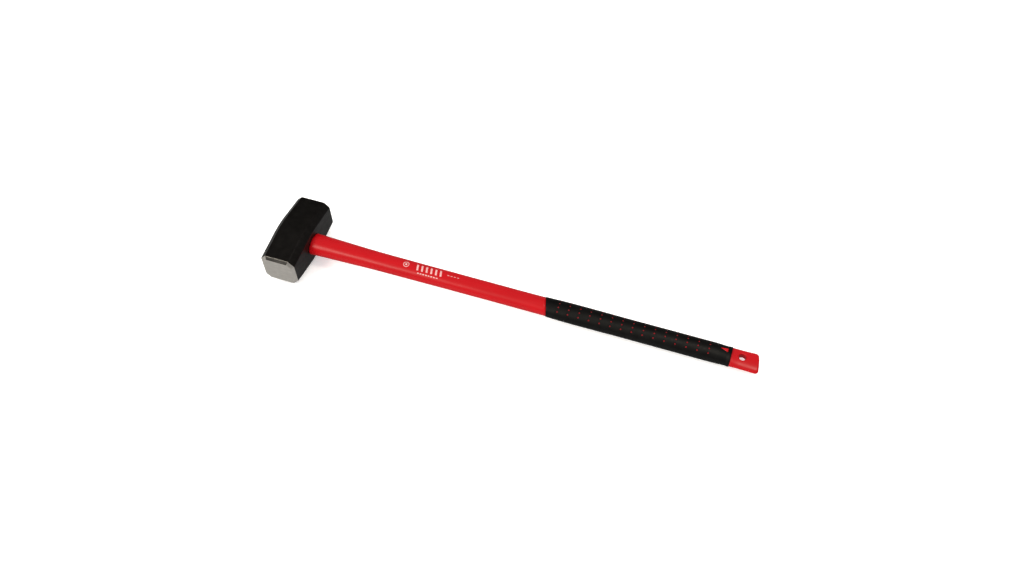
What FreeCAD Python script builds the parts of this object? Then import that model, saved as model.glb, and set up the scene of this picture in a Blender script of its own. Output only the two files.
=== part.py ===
import FreeCAD, Part
import math
import os

# Double-faced sledge hammer with a fibreglass-core handle, in millimetres.
# +X runs along the handle from the head to the hang hole, +Y along the line of the blow and +Z up,
# out of the upper cheek. The origin is the centre of the lower cheek's flat, straight below the eye.
# The pieces are drawn about the handle's own axis, and raised by AXIS_HEIGHT when they are written.

Vector = FreeCAD.Vector

# ---- Head ----
HEAD_LENGTH = 160.0             # striking face to striking face
HEAD_HALF_WIDTH = 34.0          # eye face to handle axis, at the middle of the head
HEAD_HALF_WIDTH_END = 33.5
CHEEK_HALF_HEIGHT = 40.0        # cheeks stand fuller around the eye
CHEEK_HALF_HEIGHT_END = 30.5
CHEEK_FLAT_HALF_LENGTH = 12.0   # level part of each cheek
CORNER_LEG = 10.5               # leg of the long octagon chamfers
FACE_BEVEL = 5.0                # ground bevel around each striking face

AXIS_HEIGHT = CHEEK_HALF_HEIGHT

# ---- Eye: an oval passage that narrows to a waist, so that the resin plug can't be pulled out ----
EYE_MOUTH = (19.5, 14.8)        # half width, half height
EYE_WAIST = (18.0, 13.6)

# ---- Bond and core ----
CORE_HALF_WIDTH = 14.2
CORE_HALF_HEIGHT = 10.8
CORE_START = -HEAD_HALF_WIDTH + 1.0
CORE_END = 790.0
RESIN_RECESS = 2.0              # resin level below the top face of the head
DAM_THICKNESS = 3.0

# ---- Handle sleeve: distance along the handle, half width, half height ----
SHAFT_SECTIONS = (
    (34.0, 21.8, 17.3),         # collar against the head
    (58.0, 21.1, 16.8),
    (80.0, 20.5, 16.4),
    (110.0, 19.7, 15.8),
    (152.0, 18.6, 14.9),
    (210.0, 18.1, 14.5),
    (306.0, 17.6, 14.1),
    (400.0, 17.4, 13.9),
    (500.0, 17.4, 13.9),
)
TAIL_SECTIONS = (
    (800.0, 18.6, 12.6),
    (818.0, 18.9, 9.3),
    (831.0, 19.1, 7.1),
    (843.0, 19.3, 6.6),
    (856.0, 19.8, 6.7),
    (874.0, 20.2, 6.8),         # beyond the end, which is cut out of this loft
)
TAIL_END_X = 866.0              # end of the handle on its axis
TAIL_END_SLANT = 0.13           # the end leans towards the head on the +Y side
TAIL_OUTLINE_HALF_WIDTH = 21.0
TAIL_CORNER_RADIUS = 7.0        # rounding of the end's two corners, seen from above
HANG_HOLE_X = 837.0
HANG_HOLE_Y = 2.0               # the hole lies a little to the +Y side
HANG_HOLE_RADIUS = 6.2
HANG_HOLE_FLARE = 2.4           # radius of the rounded rim
TAIL_HALF_HEIGHT_AT_HOLE = 6.7

# ---- Rubber grip: a straight middle between two shaped ends ----
GRIP_HALF_WIDTH = 18.8
GRIP_HALF_HEIGHT = 15.05
GRIP_STRAIGHT_START = 504.0
GRIP_STRAIGHT_END = 786.0
GRIP_FRONT_SECTIONS = (
    (466.0, 18.0, 14.4),
    (486.0, 18.3, 14.65),
    (GRIP_STRAIGHT_START, GRIP_HALF_WIDTH, GRIP_HALF_HEIGHT),
)
GRIP_REAR_SECTIONS = (
    (GRIP_STRAIGHT_END, GRIP_HALF_WIDTH, GRIP_HALF_HEIGHT),
    (797.0, 18.7, 14.3),
    (809.0, 18.7, 12.3),
    (814.5, 19.5, 11.8),        # end lip
    (820.0, 19.1, 10.7),
)
GRIP_WALL = 2.2
GRIP_FRONT_X = 487.0            # front edge on the handle axis
GRIP_FRONT_SLANT = 0.29         # the front edge leans towards the head on the +Y side
GRIP_END_X = 818.0

# ---- Windows in the grip, filled by pips of the sleeve ----
PIP_ROWS = 15
PIP_FIRST_X = 511.4
PIP_PITCH = 19.18
PIP_RADIUS = 1.5
PIP_ANGLES = (-41.1, -13.7, 13.7, 41.1)   # degrees round the oval from its top
ARROW_TIP_X = 796.6
ARROW_BASE_X = 811.5
ARROW_HALF_WIDTH = 5.0
ARROW_Y = 4.4                   # in line with the third row of windows

# ---- Printed marks: plain shapes on the upper side of the sleeve ----
INK_THICKNESS = 0.15
RING_X = 221.0
RING_OUTER = 5.6
RING_INNER = 4.5
DOT_RADIUS = 2.0
BAR_COUNT = 6
BAR_FIRST_X = 243.0
BAR_PITCH = 9.0
BAR_LENGTH = 3.6                # along the handle
BAR_HALF_WIDTH = 6.2
BAR_SLANT = 3.0
DASH_COUNT = 8                  # row of dashes beside the bars
DASH_FIRST_X = 246.0
DASH_PITCH = 5.2
DASH_SIZE = (3.4, 1.6)
DASH_Y = -10.5
TICK_COUNT = 4                  # row of ticks behind the bars
TICK_FIRST_X = 301.0
TICK_PITCH = 6.2
TICK_SIZE = (3.8, 1.1)


def oval_wire(x, half_width, half_height):
    """Ellipse across the handle, its long axis along Y."""
    centre = Vector(x, 0, 0)
    ellipse = Part.Ellipse(Vector(x, half_width, 0), Vector(x, 0, half_height), centre)
    return Part.Wire([ellipse.toShape()])


def oval_loft(sections, grow=0.0):
    """Smooth solid through ovals given as (x, half width, half height)."""
    wires = [oval_wire(x, width + grow, height + grow) for x, width, height in sections]
    return Part.makeLoft(wires, True, False)


def prism(points, low, high):
    """Solid between two levels of Z over a closed outline of (x, y) points."""
    corners = [Vector(x, y, low) for x, y in points]
    outline = Part.makePolygon(corners + corners[:1])
    return Part.Face(outline).extrude(Vector(0, 0, high - low))


def slab(x_low, x_high):
    """Block that holds everything between two planes across the handle."""
    reach = 60.0
    block = Part.makeBox(x_high - x_low, 2 * reach, 2 * reach)
    block.translate(Vector(x_low, -reach, -reach))
    return block


def octagon(y, half_width, half_height, leg):
    """Corners of the head's section in the plane at y."""
    corners = []
    for side_x, side_z, flat_first in ((1, 1, False), (-1, 1, True), (-1, -1, False), (1, -1, True)):
        on_side = Vector(side_x * half_width, y, side_z * (half_height - leg))
        on_cheek = Vector(side_x * (half_width - leg), y, side_z * half_height)
        corners += [on_cheek, on_side] if flat_first else [on_side, on_cheek]
    return corners


def head_profile(y):
    """Half width and half height of the head at a distance from its middle."""
    taper = max(0.0, abs(y) - CHEEK_FLAT_HALF_LENGTH) / (HEAD_LENGTH / 2 - CHEEK_FLAT_HALF_LENGTH)
    half_width = HEAD_HALF_WIDTH + taper * (HEAD_HALF_WIDTH_END - HEAD_HALF_WIDTH)
    half_height = CHEEK_HALF_HEIGHT + taper * (CHEEK_HALF_HEIGHT_END - CHEEK_HALF_HEIGHT)
    return half_width, half_height


def head_block():
    """Octagonal bar with tapered cheeks and a bevel around each striking face."""
    half_length = HEAD_LENGTH / 2
    bevel_leg = CORNER_LEG - FACE_BEVEL * (2 - math.sqrt(2))
    sections = []
    for y in (-half_length, -half_length + FACE_BEVEL, -CHEEK_FLAT_HALF_LENGTH,
              CHEEK_FLAT_HALF_LENGTH, half_length - FACE_BEVEL, half_length):
        half_width, half_height = head_profile(y)
        if abs(y) == half_length:
            sections.append(octagon(y, half_width - FACE_BEVEL, half_height - FACE_BEVEL, bevel_leg))
        else:
            sections.append(octagon(y, half_width, half_height, CORNER_LEG))
    faces = [Part.Face(Part.makePolygon(ring + ring[:1])) for ring in (sections[0], sections[-1])]
    for near, far in zip(sections, sections[1:]):
        for i in range(len(near)):
            j = (i + 1) % len(near)
            faces.append(Part.Face(Part.makePolygon([near[i], near[j], far[j], far[i], near[i]])))
    return Part.Solid(Part.Shell(faces))


def eye_volume():
    """The passage through the head, wider at both mouths than at its waist."""
    mouth = HEAD_HALF_WIDTH
    return oval_loft((
        (-mouth, *EYE_MOUTH),
        (-mouth / 2, *[(a + b) / 2 for a, b in zip(EYE_MOUTH, EYE_WAIST)]),
        (0.0, *EYE_WAIST),
        (mouth / 2, *[(a + b) / 2 for a, b in zip(EYE_MOUTH, EYE_WAIST)]),
        (mouth, *EYE_MOUTH),
    ))


def hammer_head():
    return head_block().cut(eye_volume())


def straight_bar(x_low, x_high, half_width, half_height):
    """Straight oval bar on the handle's axis."""
    wire = oval_wire(x_low, half_width, half_height)
    return Part.Face(wire).extrude(Vector(x_high - x_low, 0, 0))


def fibreglass_core():
    return straight_bar(CORE_START, CORE_END, CORE_HALF_WIDTH, CORE_HALF_HEIGHT)


def eye_resin():
    """Epoxy between the eye's wall and the core, a little below the top face."""
    filled = slab(-HEAD_HALF_WIDTH + RESIN_RECESS, HEAD_HALF_WIDTH - DAM_THICKNESS)
    return eye_volume().common(filled).cut(fibreglass_core())


def resin_dam_ring():
    """Soft ring that closes the eye's lower mouth around the core."""
    filled = slab(HEAD_HALF_WIDTH - DAM_THICKNESS, HEAD_HALF_WIDTH)
    return eye_volume().common(filled).cut(fibreglass_core())


def grip_region():
    """Everything between the grip's slanted front edge and its end."""
    reach = 40.0
    lean = GRIP_FRONT_SLANT * reach
    outline = ((GRIP_FRONT_X - lean, reach), (GRIP_FRONT_X + lean, -reach),
               (GRIP_END_X, -reach), (GRIP_END_X, reach))
    return prism(outline, -reach, reach)


def window_rods():
    """One round rod for each window, square to the grip's surface, on both broad sides."""
    rods = []
    depth = GRIP_WALL + 1.0
    for angle in PIP_ANGLES + tuple(180.0 - a for a in PIP_ANGLES):
        turn = math.radians(angle)
        surface = Vector(0, GRIP_HALF_WIDTH * math.sin(turn), GRIP_HALF_HEIGHT * math.cos(turn))
        outward = Vector(0, math.sin(turn) / GRIP_HALF_WIDTH, math.cos(turn) / GRIP_HALF_HEIGHT)
        outward.normalize()
        for row in range(PIP_ROWS):
            foot = surface - outward * depth + Vector(PIP_FIRST_X + row * PIP_PITCH, 0, 0)
            rods.append(Part.makeCylinder(PIP_RADIUS, depth + 1.0, foot, outward))
    return Part.makeCompound(rods)


def arrow_rods():
    """Triangular rods for the window near the grip's end, on both broad sides."""
    outline = ((ARROW_TIP_X, ARROW_Y), (ARROW_BASE_X, ARROW_Y - ARROW_HALF_WIDTH),
               (ARROW_BASE_X, ARROW_Y + ARROW_HALF_WIDTH))
    foot = 7.0
    reach = 20.0
    return Part.makeCompound([prism(outline, foot, reach), prism(outline, -reach, -foot)])


def grip_stretches():
    """The grip's three stretches, each as (solid outside, seat inside, window rods or None)."""
    wall = GRIP_WALL
    region = grip_region()
    front = oval_loft(GRIP_FRONT_SECTIONS).common(region)
    middle = straight_bar(GRIP_STRAIGHT_START, GRIP_STRAIGHT_END, GRIP_HALF_WIDTH, GRIP_HALF_HEIGHT)
    middle_seat = straight_bar(GRIP_STRAIGHT_START, GRIP_STRAIGHT_END,
                               GRIP_HALF_WIDTH - wall, GRIP_HALF_HEIGHT - wall)
    rear = oval_loft(GRIP_REAR_SECTIONS).common(region)
    return (
        (front, oval_loft(GRIP_FRONT_SECTIONS, -wall), None),
        (middle, middle_seat, window_rods()),
        (rear, oval_loft(GRIP_REAR_SECTIONS, -wall), arrow_rods()),
    )


def split_stretch(outside, seat, rods):
    """One stretch as (rubber with its windows, sleeve with the pips that fill them)."""
    rubber = outside.cut(seat)
    if rods:
        rubber = rubber.cut(rods)
    return rubber, outside.cut(rubber)


def rubber_grip():
    stretches = [split_stretch(*stretch)[0] for stretch in grip_stretches()]
    return stretches[0].fuse(stretches[1:])


def hang_hole_tool():
    """Round hole across the handle whose two rims open out along an arc."""
    radius = HANG_HOLE_RADIUS
    flare = HANG_HOLE_FLARE
    top = TAIL_HALF_HEIGHT_AT_HOLE
    reach = 12.0
    bend = math.sqrt(0.5) * flare
    outline = []
    corners = [Vector(0, 0, -reach), Vector(radius + flare, 0, -reach), Vector(radius + flare, 0, -top)]
    outline.append(Part.makePolygon(corners))
    outline.append(Part.Arc(Vector(radius + flare, 0, -top),
                            Vector(radius + flare - bend, 0, -top + flare - bend),
                            Vector(radius, 0, -top + flare)).toShape())
    outline.append(Part.makePolygon([Vector(radius, 0, -top + flare), Vector(radius, 0, top - flare)]))
    outline.append(Part.Arc(Vector(radius, 0, top - flare),
                            Vector(radius + flare - bend, 0, top - flare + bend),
                            Vector(radius + flare, 0, top)).toShape())
    corners = [Vector(radius + flare, 0, top), Vector(radius + flare, 0, reach),
               Vector(0, 0, reach), Vector(0, 0, -reach)]
    outline.append(Part.makePolygon(corners))
    edges = [edge for piece in outline for edge in piece.Edges]
    tool = Part.Face(Part.Wire(edges)).revolve(Vector(0, 0, 0), Vector(0, 0, 1), 360)
    tool.translate(Vector(HANG_HOLE_X, HANG_HOLE_Y, 0))
    return tool


def tail_outline():
    """Block between the grip's end and the handle's end, which is slanted and has rounded corners."""
    reach = TAIL_OUTLINE_HALF_WIDTH
    lean = TAIL_END_SLANT * reach
    corners = ((GRIP_END_X, -reach), (TAIL_END_X + lean, -reach), (TAIL_END_X - lean, reach),
               (GRIP_END_X, reach))
    block = prism(corners, -reach, reach)
    end_edges = [edge for edge in block.Edges
                 if edge.BoundBox.ZLength > reach and edge.BoundBox.XMin > HANG_HOLE_X]
    return block.makeFillet(TAIL_CORNER_RADIUS, end_edges)


def flat_tail():
    """The flattened end of the sleeve with its hang hole."""
    return oval_loft(TAIL_SECTIONS).common(tail_outline()).cut(hang_hole_tool())


def handle_sleeve():
    """Shaft, seat with pips, and tail as one solid, less the core's bore and the hang hole."""
    shaft = oval_loft(SHAFT_SECTIONS).cut(grip_region())
    seats = [split_stretch(*stretch)[1] for stretch in grip_stretches()]
    return shaft.fuse(seats + [flat_tail()]).cut(fibreglass_core())


def ring_outline():
    """Plain ring with a dot in it."""
    height = 30.0
    centre = Vector(RING_X, 0, 0)
    ring = Part.makeCylinder(RING_OUTER, height, centre).cut(Part.makeCylinder(RING_INNER, height, centre))
    return [ring, Part.makeCylinder(DOT_RADIUS, height, centre)]


def bar_outlines():
    """Row of plain slanted bars."""
    height = 30.0
    bars = []
    for i in range(BAR_COUNT):
        x = BAR_FIRST_X + i * BAR_PITCH
        outline = ((x, -BAR_HALF_WIDTH), (x + BAR_LENGTH, -BAR_HALF_WIDTH),
                   (x + BAR_LENGTH - BAR_SLANT, BAR_HALF_WIDTH), (x - BAR_SLANT, BAR_HALF_WIDTH))
        bars.append(prism(outline, 0.0, height))
    return bars


def dash_outlines(count, first_x, pitch, size, y):
    """Row of short dashes along the handle."""
    height = 30.0
    length, width = size
    dashes = []
    for i in range(count):
        dash = Part.makeBox(length, width, height)
        dash.translate(Vector(first_x + i * pitch, y - width / 2, 0))
        dashes.append(dash)
    return dashes


def printed_marks():
    """White ink shapes that lie on the sleeve, each a thin solid that follows the surface."""
    ink_skin = oval_loft(SHAFT_SECTIONS, INK_THICKNESS).cut(oval_loft(SHAFT_SECTIONS))
    dashes = dash_outlines(DASH_COUNT, DASH_FIRST_X, DASH_PITCH, DASH_SIZE, DASH_Y)
    ticks = dash_outlines(TICK_COUNT, TICK_FIRST_X, TICK_PITCH, TICK_SIZE, 0.0)
    return ink_skin.common(Part.makeCompound(ring_outline() + bar_outlines() + dashes + ticks))


PIECES = {
    "hammer_head": hammer_head,
    "eye_resin": eye_resin,
    "resin_dam_ring": resin_dam_ring,
    "fibreglass_core": fibreglass_core,
    "handle_sleeve": handle_sleeve,
    "rubber_grip": rubber_grip,
    "printed_marks": printed_marks,
}

os.makedirs("parts", exist_ok=True)
for node, make in PIECES.items():
    shape = make()
    shape.translate(Vector(0, 0, AXIS_HEIGHT))
    shape.exportStep("parts/" + node + ".step")
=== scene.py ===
import math

import bmesh
import bpy
import numpy as np
from mathutils import Matrix, Vector, noise


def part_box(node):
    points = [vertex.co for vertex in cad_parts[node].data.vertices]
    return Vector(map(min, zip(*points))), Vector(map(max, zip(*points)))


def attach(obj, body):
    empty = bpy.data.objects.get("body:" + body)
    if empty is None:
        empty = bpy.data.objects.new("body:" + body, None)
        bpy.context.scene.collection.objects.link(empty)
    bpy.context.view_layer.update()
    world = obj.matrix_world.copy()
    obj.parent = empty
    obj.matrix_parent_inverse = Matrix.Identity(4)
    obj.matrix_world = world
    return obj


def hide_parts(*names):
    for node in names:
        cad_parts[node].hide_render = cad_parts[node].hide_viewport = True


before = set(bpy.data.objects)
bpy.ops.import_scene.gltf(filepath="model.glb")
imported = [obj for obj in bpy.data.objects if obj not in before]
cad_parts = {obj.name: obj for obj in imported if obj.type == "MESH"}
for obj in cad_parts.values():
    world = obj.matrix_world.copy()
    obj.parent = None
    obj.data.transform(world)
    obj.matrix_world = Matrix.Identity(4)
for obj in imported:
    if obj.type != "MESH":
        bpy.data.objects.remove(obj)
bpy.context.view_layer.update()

# A double-faced sledge hammer lying on its cheek. Shapes are worked out in millimetres in the part's own
# frame (+X along the handle, +Y along the line of the blow, +Z up), and turned into metres as each mesh
# is made. Materials, lamps and the camera are in metres.

MM = 0.001


def box_mm(node):
    """Lowest and highest corner of a CAD node, in millimetres."""
    low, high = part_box(node)
    return np.array(low) / MM, np.array(high) / MM


_, HEAD_HIGH = box_mm("hammer_head")
CORE_LOW, CORE_HIGH = box_mm("fibreglass_core")
SLEEVE_LOW, SLEEVE_HIGH = box_mm("handle_sleeve")
RESIN_LOW, RESIN_HIGH = box_mm("eye_resin")
_, GRIP_HIGH = box_mm("rubber_grip")

AXIS_Z = (CORE_LOW[2] + CORE_HIGH[2]) / 2           # height of the handle's axis
HEAD_HALF_LENGTH = HEAD_HIGH[1]
HEAD_HALF_WIDTH = HEAD_HIGH[0]
CHEEK_HALF_HEIGHT = HEAD_HIGH[2] - AXIS_Z
CORE_HALF = (CORE_HIGH[1], CORE_HIGH[2] - AXIS_Z)   # half width and half height
EYE_MOUTH = (RESIN_HIGH[1], RESIN_HIGH[2] - AXIS_Z)
COLLAR_X = SLEEVE_LOW[0]
TAIL_END_X = SLEEVE_HIGH[0]
GRIP_END_X = GRIP_HIGH[0]


# ---- Mesh building ----

def border(numbers):
    """Point numbers round the outside of a grid, as one closed ring."""
    return np.concatenate([numbers[0, :-1], numbers[:-1, -1], numbers[-1, :0:-1], numbers[:0:-1, 0]])


class Skin:
    """Points, faces and material numbers of one piece while it is put together."""

    def __init__(self):
        self.blocks = []
        self.count = 0
        self.faces = []
        self.paint = []

    def add(self, points):
        """Stores points (..., 3) in millimetres and returns their numbers in the same layout."""
        points = np.asarray(points, float)
        flat = points.reshape(-1, 3)
        numbers = np.arange(self.count, self.count + len(flat))
        self.count += len(flat)
        self.blocks.append(flat)
        return numbers.reshape(points.shape[:-1])

    def face(self, corners, paint):
        """One face; paint is the number of its material."""
        self.faces.append([int(c) for c in corners])
        self.paint.append(paint)

    def grid(self, numbers, wrap=False, skip=None, paint=0):
        """Quads between neighbouring rows and columns; wrap joins the last column to the first."""
        rows, columns = numbers.shape
        for i in range(rows - 1):
            for j in range(columns if wrap else columns - 1):
                if skip is None or not skip[i, j]:
                    k = (j + 1) % columns
                    self.face((numbers[i, j], numbers[i + 1, j], numbers[i + 1, k], numbers[i, k]), paint)

    def loops(self, *rings, paint=0):
        """Quads between closed rings of equal length, one ring after the other."""
        self.grid(np.array(rings), wrap=True, paint=paint)

    def fan(self, ring, centre, paint=0):
        """Triangles from a closed ring to one point in its middle."""
        hub = self.add([centre])[0]
        for near, far in zip(ring, np.roll(ring, -1)):
            self.face((near, far, hub), paint)

    def plate(self, upper, lower, wrap=False):
        """Closed thin solid between two grids of points of the same shape."""
        top, bottom = self.add(upper), self.add(lower)
        self.grid(top, wrap)
        self.grid(bottom, wrap)
        if wrap:
            self.loops(top[0], bottom[0])
            self.loops(top[-1], bottom[-1])
        else:
            self.loops(border(top), border(bottom))

    def build(self, name, materials, node):
        """Makes the Blender object, smooth shaded with faces turned outward, standing for a CAD node."""
        mesh = bpy.data.meshes.new(name)
        mesh.from_pydata((np.concatenate(self.blocks) * MM).tolist(), [], self.faces)
        for material in materials:
            mesh.materials.append(material)
        mesh.polygons.foreach_set("material_index", self.paint)
        work = bmesh.new()
        work.from_mesh(mesh)
        bmesh.ops.recalc_face_normals(work, faces=work.faces)
        work.to_mesh(mesh)
        work.free()
        mesh.shade_smooth()
        made = bpy.data.objects.new(name, mesh)
        bpy.context.scene.collection.objects.link(made)
        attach(made, "root")
        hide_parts(node)
        return made


def smooth_through(stations, x):
    """Value at x of a smooth curve through (x, value) stations."""
    xs, ys = np.array(stations, float).T
    slopes = np.gradient(ys, xs)
    i = np.clip(np.searchsorted(xs, x) - 1, 0, len(xs) - 2)
    span = xs[i + 1] - xs[i]
    t = np.clip((x - xs[i]) / span, 0.0, 1.0)
    start = (2 * t**3 - 3 * t**2 + 1) * ys[i] + (t**3 - 2 * t**2 + t) * span * slopes[i]
    end = (3 * t**2 - 2 * t**3) * ys[i + 1] + (t**3 - t**2) * span * slopes[i + 1]
    return start + end


def square_steps(reach):
    """Row and column offsets of a square block of grid points round its middle point."""
    steps = np.arange(-reach, reach + 1)
    return np.meshgrid(steps, steps, indexing="ij")


def square_angles(rows, columns):
    """Square ring number and angle of each point of a square block."""
    ring = np.maximum(np.abs(rows), np.abs(columns))
    safe = np.maximum(ring, 1)
    eighth = math.pi / 4
    angle = eighth * columns / safe
    angle = np.where((columns == ring) & (rows != ring), 2 * eighth - eighth * rows / safe, angle)
    angle = np.where((rows == -ring) & (columns != ring), 4 * eighth - eighth * columns / safe, angle)
    last_side = (columns == -ring) & (np.abs(rows) != ring)
    angle = np.where(last_side, 6 * eighth + eighth * rows / safe, angle)
    return ring, angle


def rounded_block(u, v, rim, outline):
    """Moves the points of a square grid block so that its ring number rim follows outline(angle).

    u and v are distances from the hole's middle along the block's rows and columns. The block's border
    stays where it is, so that the block still fits the grid round it."""
    reach = (u.shape[0] - 1) // 2
    ring, angle = square_angles(*square_steps(reach))
    outside = np.clip((ring - rim) / (reach - rim), 0.0, 1.0)
    size = outline(angle) * np.minimum(ring / rim, 1.0) * (1 - outside)
    to_border = outside * reach / np.maximum(ring, 1)
    return size * np.cos(angle) + to_border * u, size * np.sin(angle) + to_border * v


def ring_steps(rim):
    """The (row, column) offsets round square ring number rim, in order of angle."""
    rows, columns = square_steps(rim)
    ring, angle = square_angles(rows, columns)
    on_ring = ring == rim
    order = np.argsort(angle[on_ring])
    return rows[on_ring][order], columns[on_ring][order]


def circle(radius):
    """Outline of a round hole."""
    return lambda angle: np.full(np.shape(angle), radius)


def oval(half_u, half_v):
    """Outline of an oval hole."""
    return lambda angle: half_u * half_v / np.hypot(half_v * np.cos(angle), half_u * np.sin(angle))


def arc_round(before, corner, after, radius, steps):
    """Points of an arc that rounds the corner between two straight runs."""
    before, corner, after = (np.array(p, float) for p in (before, corner, after))
    back = (before - corner) / np.linalg.norm(before - corner)
    on = (after - corner) / np.linalg.norm(after - corner)
    half_turn = (math.pi - math.acos(np.clip(back @ on, -1, 1))) / 2
    bisector = (back + on) / np.linalg.norm(back + on)
    centre = corner + bisector * radius / math.cos(half_turn)
    start = corner + back * radius * math.tan(half_turn) - centre
    side = on - (on @ start) * start / (start @ start)
    side = side / np.linalg.norm(side) * radius
    turns = np.linspace(0, 2 * half_turn, steps + 1)
    return [centre + start * math.cos(t) + side * math.sin(t) for t in turns]


def quarter_turns(steps):
    """Angles of a rounded edge's rings, from one step past its start to a quarter turn."""
    return [math.pi / 2 * i / steps for i in range(1, steps + 1)]


# ---- Materials ----

class Finish:
    """A procedural material that is built up by layers round one Principled shader."""

    def __init__(self, name, **values):
        self.material = bpy.data.materials.new(name)
        self.material.use_nodes = True
        self.tree = self.material.node_tree
        self.shader = self.tree.nodes["Principled BSDF"]
        for key, value in values.items():
            self.shader.inputs[key.replace("_", " ")].default_value = value
        self.place = self.tree.nodes.new("ShaderNodeTexCoord").outputs["Object"]
        self.last_bump = None

    def link(self, source, node, socket):
        """Feeds a layer into one input of a node."""
        self.tree.links.new(source, node.inputs[socket])

    def stretched(self, stretch):
        """Object coordinates in metres, scaled along each axis."""
        mapping = self.tree.nodes.new("ShaderNodeMapping")
        mapping.inputs["Scale"].default_value = stretch
        self.link(self.place, mapping, "Vector")
        return mapping.outputs["Vector"]

    def noise(self, grain, detail, stretch=(1, 1, 1), roughness=0.5):
        """Noise whose features are about grain metres wide."""
        made = self.tree.nodes.new("ShaderNodeTexNoise")
        made.inputs["Scale"].default_value = 1.0 / grain
        made.inputs["Detail"].default_value = detail
        made.inputs["Roughness"].default_value = roughness
        self.link(self.stretched(stretch), made, "Vector")
        return made.outputs["Fac"]

    def cells(self, grain, stretch=(1, 1, 1)):
        """Distance to scattered points about grain metres apart."""
        made = self.tree.nodes.new("ShaderNodeTexVoronoi")
        made.inputs["Scale"].default_value = 1.0 / grain
        self.link(self.stretched(stretch), made, "Vector")
        return made.outputs["Distance"]

    def spread(self, source, low, high, to_low=0.0, to_high=1.0):
        """Maps low..high of a value to another range, clamped."""
        made = self.tree.nodes.new("ShaderNodeMapRange")
        for key, value in (("From Min", low), ("From Max", high), ("To Min", to_low), ("To Max", to_high)):
            made.inputs[key].default_value = value
        self.link(source, made, "Value")
        return made.outputs["Result"]

    def blend(self, share, first, second):
        """Colour between first and second; either may be a colour or another layer's output."""
        made = self.tree.nodes.new("ShaderNodeMix")
        made.data_type = "RGBA"
        self.link(share, made, "Factor")
        colour_a, colour_b, result = made.inputs[6], made.inputs[7], made.outputs[2]
        for socket, colour in ((colour_a, first), (colour_b, second)):
            if isinstance(colour, tuple):
                socket.default_value = (*colour, 1.0)
            else:
                self.tree.links.new(colour, socket)
        return result

    def bump(self, height, distance, strength):
        """Adds one layer of relief, distance metres deep."""
        made = self.tree.nodes.new("ShaderNodeBump")
        made.inputs["Strength"].default_value = strength
        made.inputs["Distance"].default_value = distance
        self.link(height, made, "Height")
        if self.last_bump:
            self.link(self.last_bump, made, "Normal")
        self.last_bump = made.outputs["Normal"]
        self.link(self.last_bump, self.shader, "Normal")

    def drive(self, socket, source):
        """Feeds a layer into one input of the material's shader."""
        self.link(source, self.shader, socket)


def lacquer():
    """Black satin lacquer over forged steel: slow forging unevenness under a fine orange peel."""
    f = Finish("black_lacquer", Specular_IOR_Level=0.23)
    mottle = f.spread(f.noise(0.012, 4), 0.35, 0.7)
    f.drive("Base Color", f.blend(mottle, (0.0034, 0.0029, 0.0027), (0.0054, 0.0047, 0.0043)))
    smears = f.noise(0.006, 5, (1, 0.5, 1))
    f.drive("Roughness", f.spread(smears, 0.3, 0.7, 0.28, 0.42))
    f.bump(f.noise(0.009, 3), 0.00035, 0.35)
    f.bump(f.noise(0.0011, 2), 0.00006, 0.5)
    return f.material


def ground_steel(name, dark, pale):
    """Bare steel: fine parallel grinding lines and faint heat mottling between two greys."""
    f = Finish(name, Metallic=0.88)
    lines = f.noise(0.0022, 4, (0.12, 1, 3.0), 0.62)
    mottle = f.noise(0.010, 4)
    middle = tuple((a + b) / 2 for a, b in zip(dark, pale))
    clouds = f.blend(f.spread(mottle, 0.35, 0.68), middle, pale)
    f.drive("Base Color", f.blend(f.spread(lines, 0.32, 0.62), dark, clouds))
    f.drive("Roughness", f.spread(lines, 0.3, 0.7, 0.28, 0.40))
    f.bump(f.noise(0.0009, 3, (0.10, 1, 2.6), 0.6), 0.00005, 0.6)
    f.bump(mottle, 0.0003, 0.15)
    return f.material


def red_plastic(name, dark, pale):
    """Glossy polypropylene with faint flow marks between two tones and handling hairlines."""
    f = Finish(name, Specular_IOR_Level=0.2)
    flow = f.noise(0.02, 3, (0.25, 1, 1))
    f.drive("Base Color", f.blend(f.spread(flow, 0.3, 0.7), dark, pale))
    hairlines = f.noise(0.0014, 4, (0.04, 1, 1), 0.7)
    f.drive("Roughness", f.spread(hairlines, 0.35, 0.75, 0.29, 0.40))
    f.bump(f.noise(0.012, 2, (0.3, 1, 1)), 0.0003, 0.25)
    f.bump(f.noise(0.0007, 2), 0.00002, 0.35)
    return f.material


def grip_rubber():
    """Black soft moulding: fine spark-eroded grain with a dull sheen."""
    f = Finish("black_grip_rubber", Specular_IOR_Level=0.19)
    mottle = f.spread(f.noise(0.015, 4), 0.3, 0.7)
    f.drive("Base Color", f.blend(mottle, (0.0020, 0.0019, 0.0020), (0.0038, 0.0036, 0.0037)))
    wear = f.noise(0.004, 4)
    f.drive("Roughness", f.spread(wear, 0.3, 0.7, 0.42, 0.56))
    f.bump(f.cells(0.0006), 0.00006, 0.45)
    f.bump(f.noise(0.0035, 3), 0.00012, 0.2)
    return f.material


def white_ink():
    """Screen-printed ink, a little thin in places."""
    f = Finish("white_ink")
    thin = f.noise(0.0012, 4)
    f.drive("Base Color", f.blend(f.spread(thin, 0.32, 0.58), (0.50, 0.12, 0.13), (0.56, 0.38, 0.36)))
    f.drive("Roughness", f.spread(thin, 0.3, 0.7, 0.35, 0.5))
    f.bump(f.noise(0.0005, 2), 0.00002, 0.4)
    return f.material


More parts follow.
